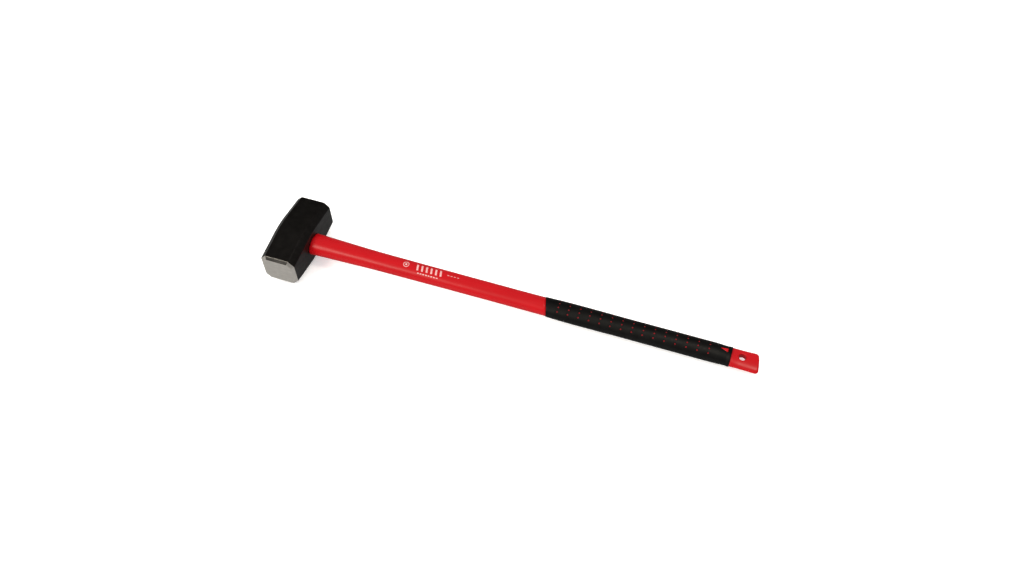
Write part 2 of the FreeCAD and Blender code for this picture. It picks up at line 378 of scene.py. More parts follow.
def set_resin():
    """Amber casting resin with small bubbles."""
    f = Finish("set_resin", Coat_Weight=0.5, Coat_Roughness=0.1,
               Subsurface_Weight=0.2, Subsurface_Scale=0.002)
    cloud = f.noise(0.006, 4)
    f.drive("Base Color", f.blend(f.spread(cloud, 0.3, 0.7), (0.40, 0.27, 0.12), (0.56, 0.42, 0.22)))
    f.drive("Roughness", f.spread(cloud, 0.3, 0.7, 0.18, 0.35))
    f.bump(f.spread(f.cells(0.0022), 0.0, 0.35), 0.0003, 0.5)
    f.bump(f.noise(0.004, 3), 0.0004, 0.4)
    return f.material


def glass_rod():
    """Cut end of a pultruded rod: packed strands seen end on, with long strands on the outside."""
    f = Finish("glass_fibre_rod")
    strands = f.cells(0.0007, (0.02, 1, 1))
    tone = f.noise(0.003, 4, (0.05, 1, 1))
    base = f.blend(f.spread(tone, 0.3, 0.7), (0.42, 0.40, 0.24), (0.62, 0.60, 0.42))
    f.drive("Base Color", f.blend(f.spread(strands, 0.1, 0.6), base, (0.24, 0.22, 0.12)))
    f.drive("Roughness", f.spread(tone, 0.3, 0.7, 0.45, 0.65))
    f.bump(strands, 0.00015, 0.6)
    f.bump(f.noise(0.0015, 4, (1, 0.1, 1)), 0.0001, 0.4)
    return f.material


def dam_rubber():
    """Soft black sealing ring."""
    f = Finish("dam_rubber")
    tone = f.noise(0.003, 4)
    f.drive("Base Color", f.blend(tone, (0.02, 0.02, 0.02), (0.045, 0.045, 0.045)))
    f.drive("Roughness", f.spread(tone, 0.3, 0.7, 0.6, 0.8))
    f.bump(f.noise(0.0008, 3), 0.0001, 0.5)
    return f.material


def studio_floor():
    """Pale matt table that glows faintly, and is darker in reflections."""
    f = Finish("pale_floor", Roughness=0.7, Specular_IOR_Level=0.0)
    tone = f.blend(f.noise(0.4, 2), (0.90, 0.90, 0.90), (0.93, 0.93, 0.93))
    reflected = f.tree.nodes.new("ShaderNodeLightPath").outputs["Is Glossy Ray"]
    f.drive("Base Color", f.blend(reflected, tone, (0.12, 0.12, 0.12)))
    f.drive("Emission Strength", f.spread(reflected, 0.0, 1.0, 0.3, 0.18))
    return f.material


# ---- Handle surface ----

# Distance along the handle, half width and half height of its oval section. Apart from the collar, each
# stretch reaches a little past its part's ends.
SHAFT_STATIONS = (
    (34.0, 21.8, 17.3), (58.0, 21.1, 16.8), (80.0, 20.5, 16.4), (110.0, 19.7, 15.8), (152.0, 18.6, 14.9),
    (210.0, 18.1, 14.5), (306.0, 17.6, 14.1), (400.0, 17.4, 13.9), (500.0, 17.4, 13.9),
)
GRIP_STATIONS = (
    (466.0, 18.0, 14.4), (486.0, 18.3, 14.65), (504.0, 18.8, 15.05), (640.0, 18.8, 15.05),
    (774.0, 18.8, 15.05), (786.0, 18.8, 15.0), (797.0, 18.7, 14.3), (809.0, 18.65, 12.5),
    (812.0, 18.8, 12.1), (814.5, 19.4, 12.1), (816.5, 19.4, 11.8), (820.0, 19.1, 10.9),
)
TAIL_STATIONS = (
    (800.0, 18.6, 12.6), (818.0, 18.9, 9.3), (831.0, 19.1, 7.1), (843.0, 19.3, 6.6), (856.0, 19.8, 6.7),
    (874.0, 20.2, 6.8),
)
GRIP_WALL = 2.2

WINDOW_SPACING = 27.4           # degrees round the oval between windows; each grid block is this wide
BLOCK_REACH = 5                 # grid steps from a window's middle to its block's border
BLOCK_HALF_LENGTH = 4.5         # the same, in millimetres along the handle
BAND_COLUMNS = 8 * BLOCK_REACH + 1
SIDE_STEPS = (29.0, 25.0, 21.0, 17.0, 13.0, 9.5, 6.5, 4.0, 2.2, 1.0)   # degrees from the parting line


def column_angles():
    """Angles of the grid's columns round the handle: even over the windows, closer at the parting line."""
    half_band = 2 * WINDOW_SPACING
    top = np.linspace(-half_band, half_band, BAND_COLUMNS)
    side = np.array([-a for a in SIDE_STEPS] + [0.0] + list(SIDE_STEPS[::-1]))
    return np.concatenate([top, 90 + side, 180 + top, 270 + side])


COLUMNS = np.radians(column_angles())
SIDE_COLUMNS = 2 * len(SIDE_STEPS) + 1
TOP_COLUMN = 4 * BLOCK_REACH
BOTTOM_COLUMN = TOP_COLUMN + BAND_COLUMNS + SIDE_COLUMNS
SEAM_HEIGHT = 0.10
SEAM_HALF_WIDTH = 0.005         # cosine of the angle at the ridge's foot
SHAFT_RELIEF = (0.10, 45.0)     # depth and length of the moulding's slow unevenness
GRIP_RELIEF = (0.06, 30.0)
TAIL_RELIEF = (0.05, 20.0)
RELIEF_ROUND = 1.6              # how quickly the unevenness changes round the section


def half_sizes(stations, x):
    """Half width and half height of the oval section at x."""
    return [smooth_through([(s[0], s[size]) for s in stations], x) for size in (1, 2)]


def oval_points(width, height, x, angle):
    """Points round the handle's axis; angle 0 is the top line and 90 degrees faces +Y."""
    x, y, z = np.broadcast_arrays(x, width * np.sin(angle), AXIS_Z + height * np.cos(angle))
    return np.stack([x, y, z], axis=-1)


def handle_points(stations, x, angle, grow):
    """Points at x and angle, grow millimetres outside the handle's outline."""
    width, height = half_sizes(stations, x)
    return oval_points(width + grow, height + grow, x, angle)


def moulding_relief(x, angle, depth, length):
    """Slow unevenness of a moulded surface plus the fine ridge of the mould's parting line."""
    relief = [noise.noise(Vector((a / length, RELIEF_ROUND * math.sin(b), RELIEF_ROUND * math.cos(b))))
              for a, b in zip(np.ravel(x), np.ravel(angle))]
    on_seam = np.abs(np.cos(angle)) < SEAM_HALF_WIDTH
    return depth * np.reshape(relief, np.shape(x)) + SEAM_HEIGHT * on_seam


# ---- Rubber grip ----

GRIP_FRONT_X = 487.0            # front edge of the rubber on the handle's axis
GRIP_FRONT_LEAN = 5.3           # the front edge lies this much nearer the head on the +Y side
GRIP_EDGE_ROUND = 0.6
PIP_ROWS = 15
PIP_FIRST_X = 511.4
PIP_PITCH = 19.18
PIP_RADIUS = 1.5
WINDOW_OFFSETS = (-3, -1, 1, 3)  # places of the windows beside the top line, in block reaches
WINDOW_RIM = 3                  # number of the grid ring that becomes a window's edge
WINDOW_ROUND = 0.28
PIP_RECESS = 0.1                # top of a pip's dome below the rubber
PIP_DOME = 0.6
PIP_GAP = 0.04
ARROW_X = (796.6, 811.5)        # tip and base
ARROW_HALF_WIDTH = 5.0
ARROW_BLOCK = (804.6, 10.2)     # middle and half length of the arrow's grid block
ARROW_REACH = 9
ARROW_RIM = 6
ARROW_SHARPNESS = 14


def grip_front(angle):
    """Position of the grip's slanted front edge."""
    return GRIP_FRONT_X - GRIP_FRONT_LEAN * np.sin(angle)


def arrow_outline(angle):
    """Distance from the arrow block's middle to the rounded triangle's edge."""
    tip, base = ARROW_X[0] - ARROW_BLOCK[0], ARROW_X[1] - ARROW_BLOCK[0]
    slope = math.atan(ARROW_HALF_WIDTH / (base - tip))
    flank, flank_distance = math.pi / 2 + slope, -tip * math.sin(slope)
    sides = ((0.0, base), (flank, flank_distance), (-flank, flank_distance))
    closeness = [np.maximum(np.cos(angle - direction), 0.0) / distance for direction, distance in sides]
    return sum(c ** ARROW_SHARPNESS for c in closeness) ** (-1.0 / ARROW_SHARPNESS)


def grip_rows():
    """Positions of the grid's straight rows, and the row numbers of the windows' middles."""
    steps = np.linspace(-BLOCK_HALF_LENGTH, BLOCK_HALF_LENGTH, 2 * BLOCK_REACH + 1)
    arrow_steps = np.linspace(-ARROW_BLOCK[1], ARROW_BLOCK[1], 2 * ARROW_REACH + 1)
    blocks = [PIP_FIRST_X + i * PIP_PITCH + steps for i in range(PIP_ROWS)] + [ARROW_BLOCK[0] + arrow_steps]
    gap_rows = 3
    rows, middles = [], []
    for block in blocks:
        if rows:
            rows += list(np.linspace(rows[-1], block[0], gap_rows + 2)[1:-1])
        middles.append(len(rows) + len(block) // 2)
        rows += list(block)
    return np.array(rows), middles


def grip_grid(window_growth):
    """Position and angle of every grid point on the grip, with the windows' round rings in place.

    The windows are (row, column, rim). Their outlines are window_growth larger than the pips'."""
    straight, middles = grip_rows()
    front_steps = 8
    rear_steps = 6
    start = grip_front(COLUMNS) + GRIP_EDGE_ROUND
    shares = np.linspace(0, 1, front_steps + 1)[:-1, None]
    front = start + shares * (straight[0] - start)
    rear = np.linspace(straight[-1], GRIP_END_X - GRIP_EDGE_ROUND, rear_steps + 1)[1:]
    body = np.concatenate([straight, rear])[:, None] + 0 * COLUMNS
    x = np.concatenate([front, body])
    angle = COLUMNS + 0 * x
    round_spots = [(row, column + offset * BLOCK_REACH) for row in middles[:-1]
                   for column in (TOP_COLUMN, BOTTOM_COLUMN) for offset in WINDOW_OFFSETS]
    round_outline = circle(PIP_RADIUS + window_growth)
    blocks = [(*spot, BLOCK_REACH, WINDOW_RIM, round_outline) for spot in round_spots]
    blocks += [(middles[-1], column, ARROW_REACH, ARROW_RIM, lambda a: arrow_outline(a) + window_growth)
               for column in (TOP_COLUMN + BLOCK_REACH, BOTTOM_COLUMN - BLOCK_REACH)]
    windows = []
    for row, column, reach, rim, outline in blocks:
        row += front_steps
        place = np.s_[row - reach:row + reach + 1, column - reach:column + reach + 1]
        x_middle, angle_middle = x[row, column], angle[row, column]
        width, height = half_sizes(GRIP_STATIONS, x_middle)
        speed = math.hypot(width * math.cos(angle_middle), height * math.sin(angle_middle))
        beside = (angle[place] - angle_middle) * speed
        along, around = rounded_block(x[place] - x_middle, beside, rim, outline)
        x[place] = x_middle + along
        angle[place] = angle_middle + around / speed
        windows.append((row, column, rim))
    return x, angle, windows


def window_mask(shape, windows):
    """True for the grid faces that lie inside a window."""
    mask = np.zeros(shape, bool)
    for row, column, rim in windows:
        mask[row - rim:row + rim, column - rim:column + rim] = True
    return mask


def edge_rings(x_edge, side):
    """Rings that roll the rubber over its front (side -1) or rear (side 1) edge and down to the sleeve."""
    rings = []
    for turn in quarter_turns(steps=4):
        x = x_edge - side * GRIP_EDGE_ROUND * (1 - math.sin(turn))
        rings.append(handle_points(GRIP_STATIONS, x, COLUMNS, -GRIP_EDGE_ROUND * (1 - math.cos(turn))))
    rings.append(handle_points(GRIP_STATIONS, x_edge, COLUMNS, -GRIP_WALL))
    return rings


def lip_rings(edge, middle, inward, size):
    """Rings that round a window's edge: they close in by size while they sink by size."""
    rings = []
    closing = middle - edge
    closing /= np.linalg.norm(closing, axis=-1, keepdims=True)
    for turn in quarter_turns(steps=3):
        rings.append(edge + closing * size * math.sin(turn) + inward * size * (1 - math.cos(turn)))
    return rings


def rubber_grip():
    """Black soft grip: a closed tube with rolled ends, round windows and an arrow window."""
    skin = Skin()
    x, angle, windows = grip_grid(WINDOW_ROUND)
    relief = moulding_relief(x, angle, *GRIP_RELIEF)
    outer = handle_points(GRIP_STATIONS, x, angle, relief)
    inner = handle_points(GRIP_STATIONS, x, angle, -GRIP_WALL)
    outer_numbers, inner_numbers = skin.add(outer), skin.add(inner)
    mask = window_mask(x.shape, windows)
    skin.grid(outer_numbers, wrap=True, skip=mask)
    skin.grid(inner_numbers, wrap=True, skip=mask)
    for row, x_edge, side in ((0, grip_front(COLUMNS), -1), (-1, GRIP_END_X + 0 * COLUMNS, 1)):
        rolled = [skin.add(ring) for ring in edge_rings(x_edge, side)]
        skin.loops(outer_numbers[row], *rolled, inner_numbers[row])
    for row, column, rim in windows:
        rows, columns = ring_steps(rim)
        spots = (row + rows, column + columns)
        inward = inner[row, column] - outer[row, column]
        inward /= np.linalg.norm(inward)
        lip = [skin.add(ring) for ring in lip_rings(outer[spots], outer[row, column], inward, WINDOW_ROUND)]
        skin.loops(outer_numbers[spots], *lip, inner_numbers[spots])
    skin.build("grip_skin", [grip_rubber()], "rubber_grip")


# ---- Red sleeve ----

BRIGHT, PIP_SHADE = 0, 1            # paints of the sleeve: its own red, and the same red darkened as painted shade for the pips in the grip's windows
COLLAR_ROUND = 0.9
SHAFT_ROWS = 140
SHAFT_STRAIGHT_END = 452.0      # rows beyond it lean towards the grip's edge
LEANING_ROWS = 8
HOLE_X = 837.0
HOLE_Y = 2.0
HOLE_RADIUS = 6.2
HOLE_ROUND = 2.4
HOLE_WALL = 4.3                 # half length of the hole's straight wall
HOLE_REACH = 15
HOLE_RIM = 10
HOLE_BLOCK_HALF = 13.0
ROWS_BEFORE_HOLE = 5
ROWS_BEHIND_HOLE = 8
TAIL_SLANT = 0.13               # the end leans towards the head on the +Y side
TAIL_CORNER = 6.5               # rounding of the end's corners, seen from above
CORNER_POWER = 6                # keeps the corners' rounding off the broad sides
TAIL_ROUND = 3.2                # rounding of the end's upper and lower edges
TAIL_FLAT_HALF = 13.5           # half width of the flat end, which reaches furthest at its -Y corner
TAIL_MIDDLE_X = TAIL_END_X - TAIL_SLANT * TAIL_FLAT_HALF
END_RING_SHARES = (0.85, 0.65, 0.45, 0.25)


def shaft_rows():
    """Positions of the shaft's rows, which lean with the grip's edge at the end."""
    straight = np.linspace(COLLAR_X + COLLAR_ROUND, SHAFT_STRAIGHT_END, SHAFT_ROWS)[:, None] + 0 * COLUMNS
    shares = np.linspace(0, 1, LEANING_ROWS + 1)[1:, None]
    leaning = straight[-1] + shares * (grip_front(COLUMNS) - straight[-1])
    return np.concatenate([straight, leaning])


def tail_rounding():
    """Length of the end's rounding at each column: short on the broad sides, longer at the corners."""
    return TAIL_ROUND + (TAIL_CORNER - TAIL_ROUND) * np.sin(COLUMNS) ** CORNER_POWER


def tail_grid():
    """Positions and angles of the tail's grid with the hang hole's rings in place, and the hole's row."""
    block = HOLE_X + np.linspace(-HOLE_BLOCK_HALF, HOLE_BLOCK_HALF, 2 * HOLE_REACH + 1)
    before = np.linspace(GRIP_END_X, block[0], ROWS_BEFORE_HOLE + 1)[:-1]
    straight = np.concatenate([before, block])[:, None] + 0 * COLUMNS
    width, _ = half_sizes(TAIL_STATIONS, TAIL_MIDDLE_X)
    last = TAIL_MIDDLE_X - TAIL_SLANT * width * np.sin(COLUMNS) - tail_rounding()
    shares = np.linspace(0, 1, ROWS_BEHIND_HOLE + 1)[1:, None]
    x = np.concatenate([straight, block[-1] + shares * (last - block[-1])])
    angle = COLUMNS + 0 * x
    row = len(before) + HOLE_REACH
    outline = circle(HOLE_RADIUS + HOLE_ROUND)
    for column, turn, side in ((TOP_COLUMN, 0.0, 1), (BOTTOM_COLUMN, math.pi, -1)):
        place = np.s_[row - HOLE_REACH:row + HOLE_REACH + 1, column - HOLE_REACH:column + HOLE_REACH + 1]
        width, _ = half_sizes(TAIL_STATIONS, x[place])
        beside = width * np.sin(angle[place] - turn) - side * HOLE_Y
        along, across = rounded_block(x[place] - HOLE_X, beside, HOLE_RIM, outline)
        x[place] = HOLE_X + along
        width, _ = half_sizes(TAIL_STATIONS, x[place])
        angle[place] = turn + np.arcsin((across + side * HOLE_Y) / width)
    return x, angle, row


def hang_hole(skin, numbers, points, row):
    """Smoothly rounded rims on both sides of the tail and the straight wall between them."""
    rows, columns = ring_steps(HOLE_RIM)
    steps = 6
    walls = []
    for column, side in ((TOP_COLUMN, 1), (BOTTOM_COLUMN, -1)):
        spots = (row + rows, column + side * columns)
        edge = points[spots]
        reach = np.hypot(edge[:, 0] - HOLE_X, edge[:, 1] - HOLE_Y)
        x = HOLE_X + (edge[:, 0] - HOLE_X) * HOLE_RADIUS / reach
        y = HOLE_Y + (edge[:, 1] - HOLE_Y) * HOLE_RADIUS / reach
        width, height = half_sizes(TAIL_STATIONS, x)
        above = np.stack([x, y, AXIS_Z + side * height * np.sqrt(1 - (y / width) ** 2)], axis=-1)
        foot = np.stack([x, y, AXIS_Z + side * HOLE_WALL + 0 * x], axis=-1)
        rings = [numbers[spots]]
        for t in np.linspace(0, 1, steps + 1)[1:]:
            rings.append(skin.add((1 - t) ** 2 * edge + 2 * t * (1 - t) * above + t * t * foot))
        skin.loops(*rings)
        walls.append(rings[-1])
    skin.loops(*walls)


def pips(skin, numbers, x, angle, windows):
    """Domed pips and arrows in the grip's windows; the small round ones get a darker red, painted shade for
    the windows they sit in.
    """
    for row, column, rim in windows:
        rows, columns = ring_steps(rim)
        place = np.s_[row - rim:row + rim + 1, column - rim:column + rim + 1]
        ring, _ = square_angles(*square_steps(rim))
        dome = PIP_DOME * (1 - (ring / rim) ** 2)
        top = handle_points(GRIP_STATIONS, x[place], angle[place], -PIP_RECESS - PIP_DOME + dome)
        top_numbers = skin.add(top)
        edge = top_numbers[rim + rows, rim + columns]
        # the round pips take the darker red, painted shade in their windows
        paint = BRIGHT if rim == ARROW_RIM else PIP_SHADE
        skin.loops(numbers[row + rows, column + columns], edge, paint=paint)
        skin.grid(top_numbers, paint=paint)


def tail_cap(skin, last, last_x):
    """Rounded rim and flat, slanted end of the tail."""
    rings = [last]
    width, height = half_sizes(TAIL_STATIONS, last_x)
    for turn in quarter_turns(steps=8):
        closing = 1 - math.cos(turn)
        ring_width, ring_height = width - TAIL_CORNER * closing, height - TAIL_ROUND * closing
        flat_x = TAIL_MIDDLE_X - TAIL_SLANT * ring_width * np.sin(COLUMNS)
        x = flat_x - tail_rounding() * (1 - math.sin(turn))
        rings.append(skin.add(oval_points(ring_width, ring_height, x, COLUMNS)))
    for share in END_RING_SHARES:
        x = TAIL_MIDDLE_X - TAIL_SLANT * ring_width * share * np.sin(COLUMNS)
        rings.append(skin.add(oval_points(ring_width * share, ring_height * share, x, COLUMNS)))
    skin.loops(*rings)
    skin.fan(rings[-1], (TAIL_MIDDLE_X, 0.0, AXIS_Z))


def sleeve():
    """Red sleeve: bore, collar, shaft, seat with pips, and the flattened tail with its hang hole."""
    skin = Skin()
    bore = [skin.add(oval_points(*CORE_HALF, x, COLUMNS)) for x in (CORE_HIGH[0], COLLAR_X)]
    skin.fan(bore[0], (CORE_HIGH[0], 0.0, AXIS_Z))
    collar = []
    for turn in [0.0] + quarter_turns(steps=4)[:-1]:
        x = COLLAR_X + COLLAR_ROUND * (1 - math.cos(turn)) + 0 * COLUMNS
        drop = COLLAR_ROUND * (1 - math.sin(turn))
        collar.append(skin.add(handle_points(SHAFT_STATIONS, x, COLUMNS, -drop)))
    x = shaft_rows()
    angle = COLUMNS + 0 * x
    shaft = skin.add(handle_points(SHAFT_STATIONS, x, angle, moulding_relief(x, angle, *SHAFT_RELIEF)))
    skin.grid(shaft, wrap=True)
    seat_x, seat_angle, windows = grip_grid(-PIP_GAP)
    seat = skin.add(handle_points(GRIP_STATIONS, seat_x, seat_angle, -GRIP_WALL))
    skin.grid(seat, wrap=True, skip=window_mask(seat_x.shape, windows))
    pips(skin, seat, seat_x, seat_angle, windows)
    front = skin.add(handle_points(GRIP_STATIONS, grip_front(COLUMNS), COLUMNS, -GRIP_WALL))
    rear = skin.add(handle_points(GRIP_STATIONS, GRIP_END_X + 0 * COLUMNS, COLUMNS, -GRIP_WALL))
    tail_x, tail_angle, hole_row = tail_grid()
    relief = moulding_relief(tail_x, tail_angle, *TAIL_RELIEF)
    tail_points = handle_points(TAIL_STATIONS, tail_x, tail_angle, relief)
    tail = skin.add(tail_points)
    holes = [(hole_row, column, HOLE_RIM) for column in (TOP_COLUMN, BOTTOM_COLUMN)]
    skin.grid(tail, wrap=True, skip=window_mask(tail_x.shape, holes))
    hang_hole(skin, tail, tail_points, hole_row)
    skin.loops(*bore, *collar, shaft[0])
    skin.loops(shaft[-1], front, seat[0])
    skin.loops(seat[-1], rear, tail[0])
    tail_cap(skin, tail[-1], tail_x[-1])
    bright = red_plastic("red_polypropylene", (0.32, 0.0009, 0.0032), (0.37, 0.0014, 0.0042))
    # the pips are the same plastic, darkened as painted shade for the grip's windows
    shaded_pip_red = red_plastic("pip_red_painted_shade", (0.15, 0.0032, 0.0065), (0.22, 0.0045, 0.0090))
    skin.build("sleeve_skin", [bright, shaded_pip_red], "handle_sleeve")


# ---- Printed marks ----

INK_LIFT = 0.09                 # outer side of the ink above the sleeve
INK_SINK = 0.12                 # inner side of the ink below the sleeve's surface
INK_STEPS = 9                   # points along each side of a patch
INK_ROUND_STEPS = 64
INK_ROUND_RINGS = 4
RING_X = 221.0
RING_RADII = (4.4, 5.7)
DOT_RADII = (0.05, 2.0)         # a ring too, round a pinhole
BAR_COUNT = 6
BAR_FIRST_X = 243.0
BAR_PITCH = 9.0
BAR_LENGTH = 3.6
BAR_HALF_WIDTH = 6.2
BAR_SLANT = 3.0
DASH_ROWS = (                   # count, first X, pitch, length, width, Y
    (8, 246.0, 5.2, 3.4, 1.6, -10.5),
    (4, 301.0, 6.2, 3.8, 1.1, 0.0),
)


def on_sleeve(x, y, lift):
    """Points above or below the sleeve's upper side, straight over (x, y)."""
    width, height = half_sizes(SHAFT_STATIONS, x)
    angle = np.arcsin(np.clip(y / width, -1, 1))
    relief = moulding_relief(x, angle, *SHAFT_RELIEF)
    return oval_points(width + relief + lift, height + relief + lift, x, angle)


def ink_patch(skin, x, y, wrap=False):
    """Thin closed patch of ink over a grid of (x, y) places."""
    skin.plate(on_sleeve(x, y, INK_LIFT), on_sleeve(x, y, -INK_SINK), wrap)


def ink_quad(skin, x_low, x_high, y_low, y_high, slant=0.0):
    """Four-sided patch; slant moves its +Y edge towards the head."""
    shares = np.linspace(0, 1, INK_STEPS)
    v, u = np.meshgrid(shares, shares)
    ink_patch(skin, x_low + u * (x_high - x_low) - v * slant, y_low + v * (y_high - y_low))


def ink_round(skin, inner, outer):
    """Ring between two radii round the first mark's middle."""
    turn = np.linspace(0, 2 * math.pi, INK_ROUND_STEPS + 1)[:-1]
    radius = np.linspace(inner, outer, INK_ROUND_RINGS)[:, None]
    ink_patch(skin, RING_X + radius * np.cos(turn), radius * np.sin(turn), wrap=True)


def printed_marks():
    """Plain generic shapes in white ink: a ring with a dot, slanted bars and two rows of dashes."""
    skin = Skin()
    ink_round(skin, *RING_RADII)
    ink_round(skin, *DOT_RADII)
    for i in range(BAR_COUNT):
        x = BAR_FIRST_X + i * BAR_PITCH
        ink_quad(skin, x, x + BAR_LENGTH, -BAR_HALF_WIDTH, BAR_HALF_WIDTH, BAR_SLANT)
    for count, first_x, pitch, length, width, y in DASH_ROWS:
        for i in range(count):
            x = first_x + i * pitch
            ink_quad(skin, x, x + length, y - width / 2, y + width / 2)
    skin.build("ink_marks", [white_ink()], "printed_marks")


# ---- Hammer head ----

HEAD_HALF_WIDTH_END = 33.5
CHEEK_HALF_HEIGHT_END = 30.5
CHEEK_FLAT_HALF_LENGTH = 12.0
CHEEK_BLEND = 7.0               # length over which the level cheek turns into its taper
CORNER_LEG = 10.5
CORNER_ROUND = 1.8
ARC_STEPS = 4
EYE_SIDE_STEPS = 40
CHEEK_STEPS = 14
CHAMFER_STEPS = 5
EYE_REACH = 14
EYE_RIM = 9
EYE_EDGE_ROUND = 1.0
EYE_BLOCK_HALF = 26.0
EYE_WAIST_SHARE = 0.92
EYE_WALL_RINGS = 7
HALF_RING = 4 * ARC_STEPS + EYE_SIDE_STEPS + CHEEK_STEPS + 2 * CHAMFER_STEPS  # half the octagon's columns
EYE_COLUMNS = [half + ARC_STEPS + EYE_SIDE_STEPS // 2 for half in (0, HALF_RING)]
CHEEK_COLUMNS = [half + 3 * ARC_STEPS + EYE_SIDE_STEPS + CHAMFER_STEPS for half in (0, HALF_RING)]
TAPER_ROWS = 24
FACE_BEVEL = 5.0
BEVEL_ROUND = 1.4
BEVEL_ROWS = 3
FACE_CROWN = 0.45
FACE_RINGS = 12
LACQUER, GROUND, RIM = 0, 1, 2  # coats of the head; on RIM rows the bevels beside the cheeks are painted darker as shade
FORGE_WAVES = ((0.14, 16.0), (0.05, 5.0))   # depth and length of the forging's unevenness
FORGE_FADE = 6.0                # it dies out over this length before the ground ends


def head_half_sizes(y):
    """Half width and half height of the head's section at y, with a smooth turn into the taper."""
    past = np.abs(y) - CHEEK_FLAT_HALF_LENGTH
    taper = (past + np.hypot(past, CHEEK_BLEND)) / 2 / (HEAD_HALF_LENGTH - CHEEK_FLAT_HALF_LENGTH)
    width = HEAD_HALF_WIDTH + taper * (HEAD_HALF_WIDTH_END - HEAD_HALF_WIDTH)
    height = CHEEK_HALF_HEIGHT + taper * (CHEEK_HALF_HEIGHT_END - CHEEK_HALF_HEIGHT)
    return width, height


def octagon_ring(y, inset):
    """Rounded octagon at y, starting at the lower corner of the handle side and going up that side."""
    width, height = head_half_sizes(y)
    width, height = width - inset, height - inset
    leg = CORNER_LEG - inset * (2 - math.sqrt(2))
    quarter = [(width, height - leg), (width - leg, height)]
    mirrored = [(-x, z) for x, z in quarter[::-1]]
    upper = quarter + mirrored
    corners = [(width, leg - height)] + upper + [(x, -z) for x, z in upper[::-1]][:-1]
    runs = (EYE_SIDE_STEPS, CHAMFER_STEPS, CHEEK_STEPS, CHAMFER_STEPS) * 2
    arcs = [arc_round(corners[i - 1], corners[i], corners[(i + 1) % 8], CORNER_ROUND, ARC_STEPS)
            for i in range(8)]
    points = []
    for i, run in enumerate(runs):
        points += arcs[i]
        start, end = arcs[i][-1], arcs[(i + 1) % 8][0]
        points += [start + (end - start) * k / run for k in range(1, run)]
    x, z = np.array(points).T
    return np.stack([x, y + 0 * x, AXIS_Z + z], axis=-1)


def head_rows():
    """(y, inset, coat) of each section, from the middle of the head out to one striking face."""
    block = np.linspace(0, EYE_BLOCK_HALF, EYE_REACH + 1)
    shoulder = (HEAD_HALF_LENGTH - FACE_BEVEL, 0.0)
    face_edge = (HEAD_HALF_LENGTH - FACE_CROWN, FACE_BEVEL)
    first = arc_round((0.0, 0.0), shoulder, face_edge, BEVEL_ROUND, ARC_STEPS)
    second = arc_round(shoulder, face_edge, (face_edge[0], HEAD_HALF_WIDTH), BEVEL_ROUND, ARC_STEPS)
    along = np.linspace(block[-1], first[0][0], TAPER_ROWS + 2)[1:-1]
    slope = [first[-1] + (second[0] - first[-1]) * k / (BEVEL_ROWS + 1) for k in range(1, BEVEL_ROWS + 1)]
    rows = [(y, 0.0, LACQUER) for y in (*block, *along)]
    rows += [(*point, LACQUER if i <= ARC_STEPS // 2 else RIM) for i, point in enumerate(first)]
    rows += [(*point, RIM) for point in slope + second[:1]]
    return rows + [(*point, GROUND) for point in second[1:]]


def shape_eye(points, side, column):
    """Moves the grid on one side of the head into oval rings about the eye."""
    middle = len(points) // 2
    place = np.s_[middle - EYE_REACH:middle + EYE_REACH + 1, column - EYE_REACH:column + EYE_REACH + 1]
    block = points[place]
    rim = oval(EYE_MOUTH[0] + EYE_EDGE_ROUND, EYE_MOUTH[1] + EYE_EDGE_ROUND)
    along, across = rounded_block(block[..., 1], side * (block[..., 2] - AXIS_Z), EYE_RIM, rim)
    width, _ = head_half_sizes(along)
    points[place] = np.stack([side * width, along, AXIS_Z + side * across], axis=-1)


def line_eye(skin, numbers, points):
    """Rounded mouths and waisted wall of the passage through the head."""
    rows, columns = ring_steps(EYE_RIM)
    middle = len(points) // 2
    ends = []
    for side, column in zip((1, -1), EYE_COLUMNS):
        spots = (middle + rows, column + side * columns)
        edge = points[spots]
        rings = [numbers[spots]]
        for turn in quarter_turns(ARC_STEPS):
            drop = EYE_EDGE_ROUND * (1 - math.cos(turn))
            closing = EYE_EDGE_ROUND * math.sin(turn)
            shrink = 1 - closing / np.hypot(edge[:, 1], edge[:, 2] - AXIS_Z)
            ring = np.stack([edge[:, 0] - side * drop, edge[:, 1] * shrink,
                             AXIS_Z + (edge[:, 2] - AXIS_Z) * shrink], axis=-1)
            rings.append(skin.add(ring))
        skin.loops(*rings, paint=LACQUER)
        ends.append((rings[-1], ring))
    (near, near_points), (far, far_points) = ends
    between = []
    for t in np.linspace(0, 1, EYE_WALL_RINGS + 2)[1:-1]:
        share = EYE_WAIST_SHARE + (1 - EYE_WAIST_SHARE) * (2 * t - 1) ** 2
        ring = near_points * (1 - t) + far_points * t
        ring = np.stack([ring[:, 0], ring[:, 1] * share, AXIS_Z + (ring[:, 2] - AXIS_Z) * share], axis=-1)
        between.append(skin.add(ring))
    skin.loops(near, *between, far, paint=LACQUER)


def striking_face(skin, ring, points, side):
    """Slightly crowned ground face inside the bevel."""
    rings = [ring]
    for share in np.linspace(1, 0, FACE_RINGS + 2)[1:-1]:
        y = side * (HEAD_HALF_LENGTH - FACE_CROWN * share**2) + 0 * points[:, 0]
        inner = np.stack([points[:, 0] * share, y, AXIS_Z + (points[:, 2] - AXIS_Z) * share], axis=-1)
        rings.append(skin.add(inner))
    skin.loops(*rings, paint=GROUND)
    skin.fan(rings[-1], (0.0, side * HEAD_HALF_LENGTH, AXIS_Z), paint=GROUND)


